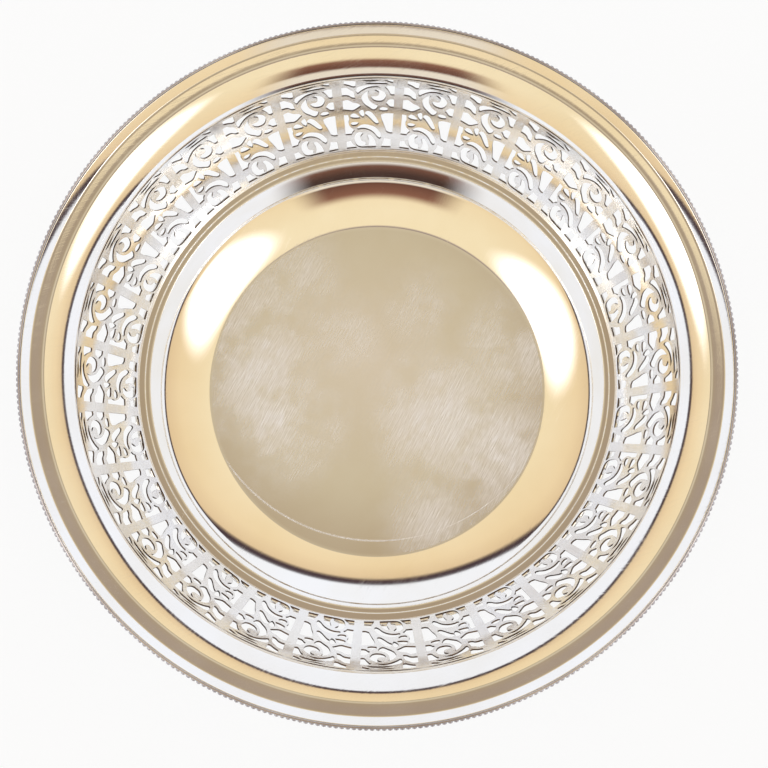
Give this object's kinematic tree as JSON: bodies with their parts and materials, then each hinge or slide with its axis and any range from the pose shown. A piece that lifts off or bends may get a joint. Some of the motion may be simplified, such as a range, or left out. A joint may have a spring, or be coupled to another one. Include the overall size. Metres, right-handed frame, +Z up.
{
  "type": "centerpiece bowl",
  "caption": "Round polished silver centerpiece bowl with a plain well on a ring foot, a pierced scroll gallery and a dished rim edged with fine beads.",
  "frame": {"origin": "on the axis of the bowl, at the surface that the foot stands on", "axes": "+Z up along the axis of the bowl; +Y to the top of the picture and +X to its right"},
  "size_m": [0.3, 0.3, 0.0858],
  "materials": {
    "polished_silver": "polished sterling silver with fine use scratches",
    "pierced_silver": "polished sterling silver, pierced and lightly toned in the corners",
    "beaded_silver": "polished sterling silver bead wire"
  },
  "bodies": {
    "root": {"well": "polished_silver", "foot_collar": "polished_silver", "foot_wire": "polished_silver", "lower_moulding": "polished_silver", "upper_moulding": "polished_silver", "rim_flange": "polished_silver", "bead_border": "beaded_silver", "gallery_panel_01": "pierced_silver", "gallery_panel_02": "pierced_silver", "gallery_panel_03": "pierced_silver", "gallery_panel_04": "pierced_silver", "gallery_panel_05": "pierced_silver", "gallery_panel_06": "pierced_silver", "gallery_panel_07": "pierced_silver", "gallery_panel_08": "pierced_silver", "gallery_panel_09": "pierced_silver", "gallery_panel_10": "pierced_silver", "gallery_panel_11": "pierced_silver", "gallery_panel_12": "pierced_silver", "gallery_panel_13": "pierced_silver", "gallery_panel_14": "pierced_silver", "gallery_panel_15": "pierced_silver", "gallery_panel_16": "pierced_silver", "gallery_panel_17": "pierced_silver", "gallery_panel_18": "pierced_silver", "gallery_panel_19": "pierced_silver", "gallery_panel_20": "pierced_silver", "gallery_panel_21": "pierced_silver", "gallery_panel_22": "pierced_silver", "gallery_panel_23": "pierced_silver", "gallery_panel_24": "pierced_silver", "gallery_panel_25": "pierced_silver", "gallery_panel_26": "pierced_silver", "gallery_panel_27": "pierced_silver", "gallery_panel_28": "pierced_silver"}
  },
  "joints": []
}
